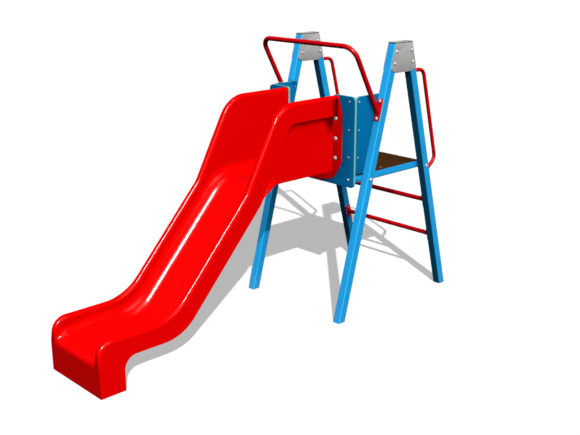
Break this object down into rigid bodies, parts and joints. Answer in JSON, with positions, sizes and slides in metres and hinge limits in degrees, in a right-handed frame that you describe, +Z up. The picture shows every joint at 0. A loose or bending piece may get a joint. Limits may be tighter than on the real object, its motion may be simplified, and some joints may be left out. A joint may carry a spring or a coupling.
{
  "type": "straight playground slide",
  "caption": "Straight playground slide: a one-piece moulded chute on a blue A-frame tower with a standing deck, guard boards, rungs, a hoop over the chute's mouth and grab handles.",
  "frame": {"origin": "on the ground, in the middle of the object's footprint box", "axes": "+Z up, +Y from the chute's exit towards the climbing side, +X to the right of someone who faces the climbing side from the exit"},
  "size_m": [0.9884, 2.985, 1.9098],
  "materials": {
    "slide_red": "glossy moulded glass-fibre plastic",
    "frame_blue": "powder coat",
    "board_blue": "satin polyethylene board with pale cut edges",
    "bar_red": "powder coat",
    "plate_grey": "galvanised",
    "bolt_steel": "polished stainless",
    "deck_brown": "film-faced anti-slip board",
    "cap_black": "moulded"
  },
  "bodies": {
    "root": {"chute": "slide_red", "leg_front_right": "frame_blue", "leg_cap_front_right": "cap_black", "apex_bolt_front_right_1": "bolt_steel", "apex_bolt_front_right_2": "bolt_steel", "rail_bolt_front_right": "bolt_steel", "leg_front_left": "frame_blue", "leg_cap_front_left": "cap_black", "apex_bolt_front_left_1": "bolt_steel", "apex_bolt_front_left_2": "bolt_steel", "rail_bolt_front_left": "bolt_steel", "leg_rear_right": "frame_blue", "leg_cap_rear_right": "cap_black", "apex_bolt_rear_right_1": "bolt_steel", "apex_bolt_rear_right_2": "bolt_steel", "rail_bolt_rear_right": "bolt_steel", "leg_rear_left": "frame_blue", "leg_cap_rear_left": "cap_black", "apex_bolt_rear_left_1": "bolt_steel", "apex_bolt_rear_left_2": "bolt_steel", "rail_bolt_rear_left": "bolt_steel", "apex_plate_outer_right": "plate_grey", "apex_plate_inner_right": "plate_grey", "apex_cover_right": "plate_grey", "deck_rail_right": "frame_blue", "side_board_right": "board_blue", "handle_right": "bar_red", "slide_bolt_right_1": "bolt_steel", "slide_bolt_right_2": "bolt_steel", "slide_bolt_right_3": "bolt_steel", "rung_bolt_right_1": "bolt_steel", "rung_bolt_right_2": "bolt_steel", "rung_bolt_right_3": "bolt_steel", "rung_bolt_right_4": "bolt_steel", "hoop_bolt_right_1": "bolt_steel", "hoop_bolt_right_2": "bolt_steel", "apex_plate_outer_left": "plate_grey", "apex_plate_inner_left": "plate_grey", "apex_cover_left": "plate_grey", "deck_rail_left": "frame_blue", "side_board_left": "board_blue", "handle_left": "bar_red", "slide_bolt_left_1": "bolt_steel", "slide_bolt_left_2": "bolt_steel", "slide_bolt_left_3": "bolt_steel", "rung_bolt_left_1": "bolt_steel", "rung_bolt_left_2": "bolt_steel", "rung_bolt_left_3": "bolt_steel", "rung_bolt_left_4": "bolt_steel", "hoop_bolt_left_1": "bolt_steel", "hoop_bolt_left_2": "bolt_steel", "deck_bearer_front": "frame_blue", "deck_bearer_middle": "frame_blue", "deck_bearer_rear": "frame_blue", "deck_board": "deck_brown", "front_board": "board_blue", "hoop": "bar_red", "rung_1": "bar_red", "rung_2": "bar_red"}
  },
  "joints": []
}
